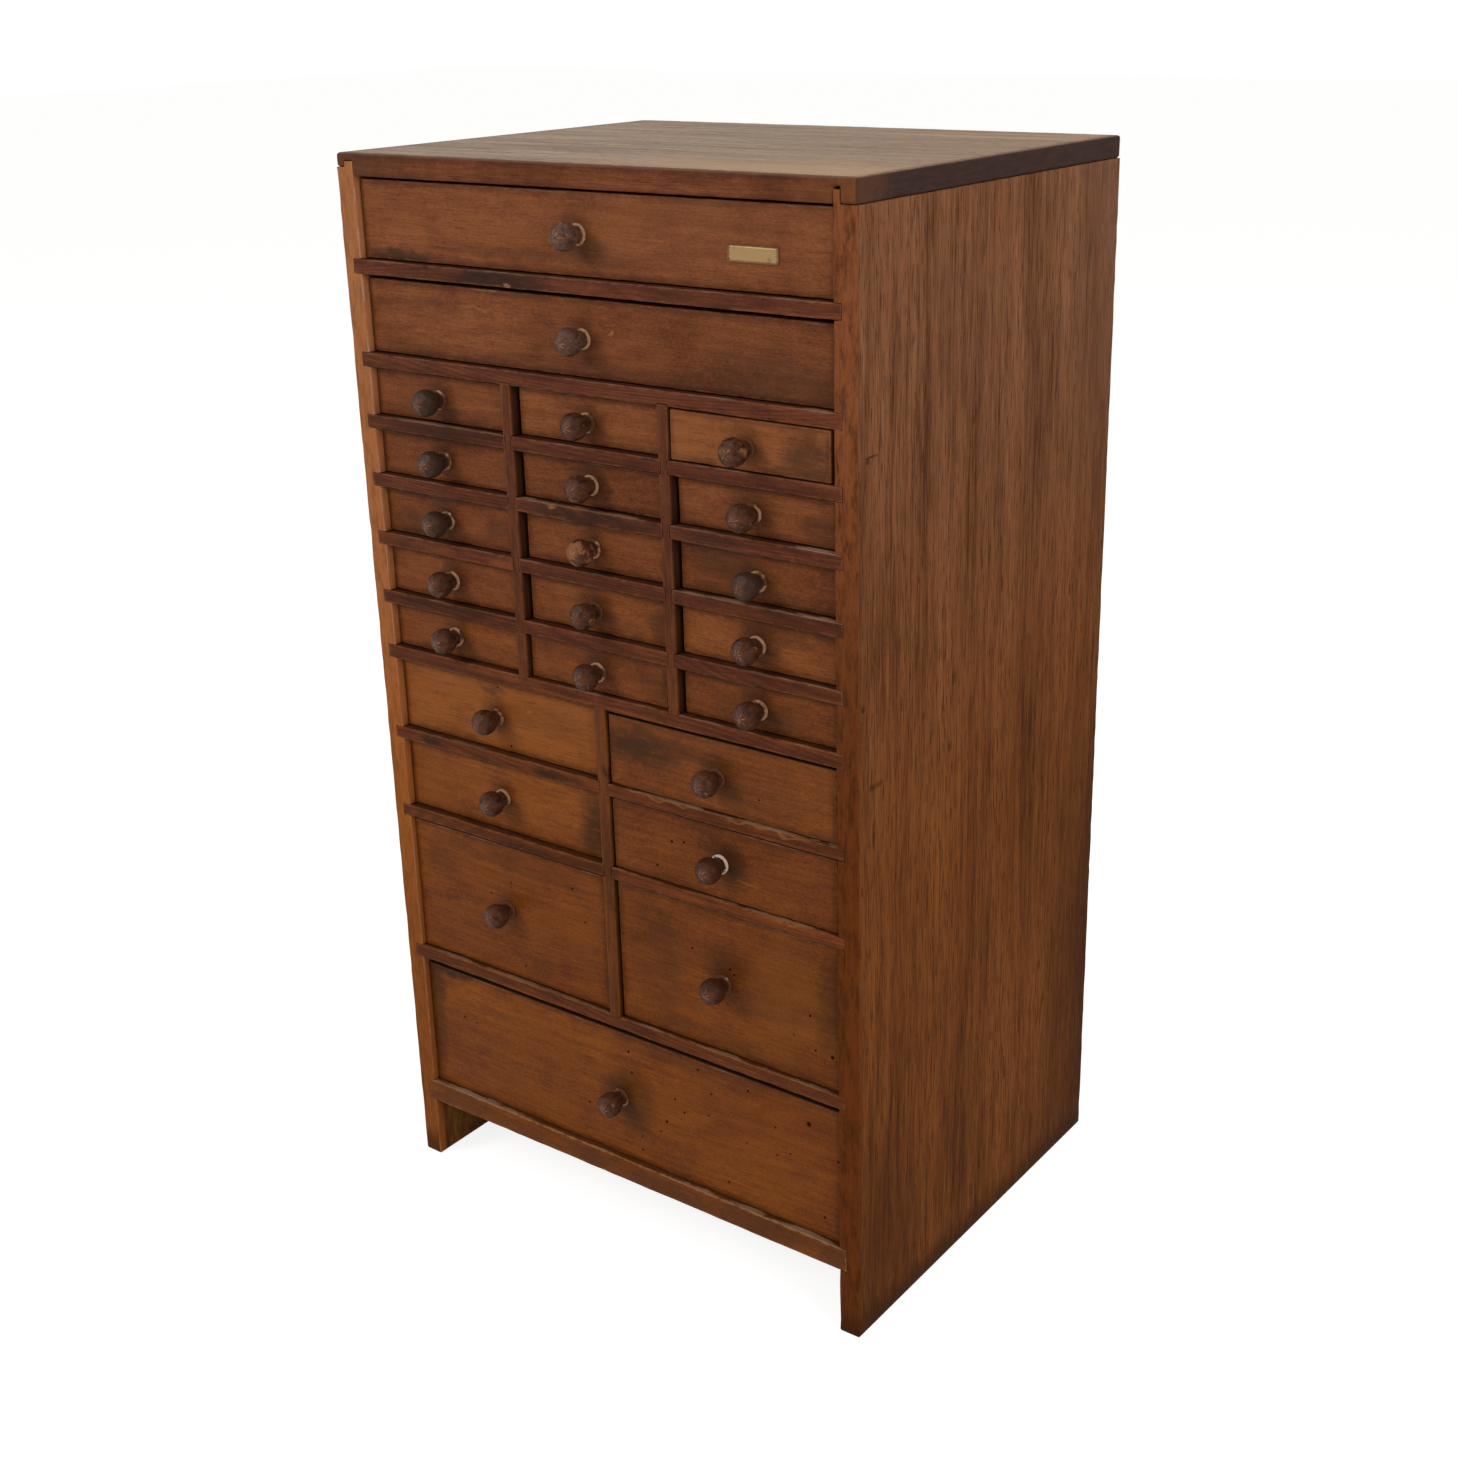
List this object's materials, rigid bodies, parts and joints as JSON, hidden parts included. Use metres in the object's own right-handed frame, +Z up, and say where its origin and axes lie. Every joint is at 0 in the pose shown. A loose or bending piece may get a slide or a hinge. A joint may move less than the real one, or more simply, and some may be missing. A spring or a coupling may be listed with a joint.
{
  "type": "parts cabinet",
  "caption": "Tall narrow wooden cabinet of drawers for watch parts, with turned knobs, housed shelves, a grooved-on top and sides that run down as feet.",
  "frame": {"origin": "on the floor, under the middle of the outline with the knobs", "axes": "+X to the right along the front, +Y to the back, +Z up"},
  "size_m": [0.402, 0.3352, 0.75],
  "materials": {
    "case_wood": "waxed, worn hardwood, darker and streaked on the outside",
    "top_wood": "dry, greyed hardwood with worn arrises",
    "shelf_wood": "dark reddish hardwood, rubbed on the front arrises",
    "back_wood": "bare softwood boards, dusty",
    "drawer_wood": "waxed hardwood fronts with bare insides, wormholes and stains",
    "knob_wood": "turned hardwood polished by handling, on a pale collar",
    "nail_steel": "dull, rust-brown",
    "plate_brass": "dull, brushed, without letters"
  },
  "bodies": {
    "case": {"back_boards": "back_wood", "back_nails": "nail_steel", "bottom_board": "shelf_wood", "long_shelves": "shelf_wood", "middle_divider": "shelf_wood", "middle_shelves": "shelf_wood", "side_left": "case_wood", "side_right": "case_wood", "small_dividers": "shelf_wood", "small_shelves": "shelf_wood", "top_board": "top_wood"},
    "drawer_bottom": {"drawer_bottom_box": "drawer_wood", "drawer_bottom_knob": "knob_wood"},
    "drawer_middle_1_left": {"drawer_middle_1_left_box": "drawer_wood", "drawer_middle_1_left_knob": "knob_wood"},
    "drawer_middle_1_right": {"drawer_middle_1_right_box": "drawer_wood", "drawer_middle_1_right_knob": "knob_wood"},
    "drawer_middle_2_left": {"drawer_middle_2_left_box": "drawer_wood", "drawer_middle_2_left_knob": "knob_wood"},
    "drawer_middle_2_right": {"drawer_middle_2_right_box": "drawer_wood", "drawer_middle_2_right_knob": "knob_wood"},
    "drawer_small_1_centre": {"drawer_small_1_centre_box": "drawer_wood", "drawer_small_1_centre_knob": "knob_wood"},
    "drawer_small_1_left": {"drawer_small_1_left_box": "drawer_wood", "drawer_small_1_left_knob": "knob_wood"},
    "drawer_small_1_right": {"drawer_small_1_right_box": "drawer_wood", "drawer_small_1_right_knob": "knob_wood"},
    "drawer_small_2_centre": {"drawer_small_2_centre_box": "drawer_wood", "drawer_small_2_centre_knob": "knob_wood"},
    "drawer_small_2_left": {"drawer_small_2_left_box": "drawer_wood", "drawer_small_2_left_knob": "knob_wood"},
    "drawer_small_2_right": {"drawer_small_2_right_box": "drawer_wood", "drawer_small_2_right_knob": "knob_wood"},
    "drawer_small_3_centre": {"drawer_small_3_centre_box": "drawer_wood", "drawer_small_3_centre_knob": "knob_wood"},
    "drawer_small_3_left": {"drawer_small_3_left_box": "drawer_wood", "drawer_small_3_left_knob": "knob_wood"},
    "drawer_small_3_right": {"drawer_small_3_right_box": "drawer_wood", "drawer_small_3_right_knob": "knob_wood"},
    "drawer_small_4_centre": {"drawer_small_4_centre_box": "drawer_wood", "drawer_small_4_centre_knob": "knob_wood"},
    "drawer_small_4_left": {"drawer_small_4_left_box": "drawer_wood", "drawer_small_4_left_knob": "knob_wood"},
    "drawer_small_4_right": {"drawer_small_4_right_box": "drawer_wood", "drawer_small_4_right_knob": "knob_wood"},
    "drawer_small_5_centre": {"drawer_small_5_centre_box": "drawer_wood", "drawer_small_5_centre_knob": "knob_wood"},
    "drawer_small_5_left": {"drawer_small_5_left_box": "drawer_wood", "drawer_small_5_left_knob": "knob_wood"},
    "drawer_small_5_right": {"drawer_small_5_right_box": "drawer_wood", "drawer_small_5_right_knob": "knob_wood"},
    "drawer_tall_left": {"drawer_tall_left_box": "drawer_wood", "drawer_tall_left_knob": "knob_wood"},
    "drawer_tall_right": {"drawer_tall_right_box": "drawer_wood", "drawer_tall_right_knob": "knob_wood"},
    "drawer_top_lower": {"drawer_top_lower_box": "drawer_wood", "drawer_top_lower_knob": "knob_wood"},
    "drawer_top_upper": {"drawer_top_upper_box": "drawer_wood", "drawer_top_upper_knob": "knob_wood", "label_plate": "plate_brass"}
  },
  "joints": [
    {"name": "drawer_bottom_slide", "type": "slide", "parent": "case", "child": "drawer_bottom", "axis": [0, -1, 0], "range_m": [-0.0023, 0.2]},
    {"name": "drawer_middle_1_left_slide", "type": "slide", "parent": "case", "child": "drawer_middle_1_left", "axis": [0, -1, 0], "range_m": [-0.0012, 0.2]},
    {"name": "drawer_middle_1_right_slide", "type": "slide", "parent": "case", "child": "drawer_middle_1_right", "axis": [0, -1, 0], "range_m": [-0.0045, 0.2]},
    {"name": "drawer_middle_2_left_slide", "type": "slide", "parent": "case", "child": "drawer_middle_2_left", "axis": [0, -1, 0], "range_m": [-0.0012, 0.2]},
    {"name": "drawer_middle_2_right_slide", "type": "slide", "parent": "case", "child": "drawer_middle_2_right", "axis": [0, -1, 0], "range_m": [-0.0045, 0.2]},
    {"name": "drawer_small_1_centre_slide", "type": "slide", "parent": "case", "child": "drawer_small_1_centre", "axis": [0, -1, 0], "range_m": [-0.001, 0.2]},
    {"name": "drawer_small_1_left_slide", "type": "slide", "parent": "case", "child": "drawer_small_1_left", "axis": [0, -1, 0], "range_m": [-0.0017, 0.2]},
    {"name": "drawer_small_1_right_slide", "type": "slide", "parent": "case", "child": "drawer_small_1_right", "axis": [0, -1, 0], "range_m": [-0.0055, 0.2]},
    {"name": "drawer_small_2_centre_slide", "type": "slide", "parent": "case", "child": "drawer_small_2_centre", "axis": [0, -1, 0], "range_m": [-0.001, 0.2]},
    {"name": "drawer_small_2_left_slide", "type": "slide", "parent": "case", "child": "drawer_small_2_left", "axis": [0, -1, 0], "range_m": [-0.0015, 0.2]},
    {"name": "drawer_small_2_right_slide", "type": "slide", "parent": "case", "child": "drawer_small_2_right", "axis": [0, -1, 0], "range_m": [-0.0015, 0.2]},
    {"name": "drawer_small_3_centre_slide", "type": "slide", "parent": "case", "child": "drawer_small_3_centre", "axis": [0, -1, 0], "range_m": [-0.0009, 0.2]},
    {"name": "drawer_small_3_left_slide", "type": "slide", "parent": "case", "child": "drawer_small_3_left", "axis": [0, -1, 0], "range_m": [-0.0013, 0.2]},
    {"name": "drawer_small_3_right_slide", "type": "slide", "parent": "case", "child": "drawer_small_3_right", "axis": [0, -1, 0], "range_m": [-0.001, 0.2]},
    {"name": "drawer_small_4_centre_slide", "type": "slide", "parent": "case", "child": "drawer_small_4_centre", "axis": [0, -1, 0], "range_m": [-0.0011, 0.2]},
    {"name": "drawer_small_4_left_slide", "type": "slide", "parent": "case", "child": "drawer_small_4_left", "axis": [0, -1, 0], "range_m": [-0.0015, 0.2]},
    {"name": "drawer_small_4_right_slide", "type": "slide", "parent": "case", "child": "drawer_small_4_right", "axis": [0, -1, 0], "range_m": [-0.0015, 0.2]},
    {"name": "drawer_small_5_centre_slide", "type": "slide", "parent": "case", "child": "drawer_small_5_centre", "axis": [0, -1, 0], "range_m": [-0.003, 0.2]},
    {"name": "drawer_small_5_left_slide", "type": "slide", "parent": "case", "child": "drawer_small_5_left", "axis": [0, -1, 0], "range_m": [-0.0015, 0.2]},
    {"name": "drawer_small_5_right_slide", "type": "slide", "parent": "case", "child": "drawer_small_5_right", "axis": [0, -1, 0], "range_m": [-0.0017, 0.2]},
    {"name": "drawer_tall_left_slide", "type": "slide", "parent": "case", "child": "drawer_tall_left", "axis": [0, -1, 0], "range_m": [-0.003, 0.2]},
    {"name": "drawer_tall_right_slide", "type": "slide", "parent": "case", "child": "drawer_tall_right", "axis": [0, -1, 0], "range_m": [-0.0035, 0.2]},
    {"name": "drawer_top_lower_slide", "type": "slide", "parent": "case", "child": "drawer_top_lower", "axis": [0, -1, 0], "range_m": [-0.0017, 0.2]},
    {"name": "drawer_top_upper_slide", "type": "slide", "parent": "case", "child": "drawer_top_upper", "axis": [0, -1, 0], "range_m": [-0.002, 0.2]}
  ]
}
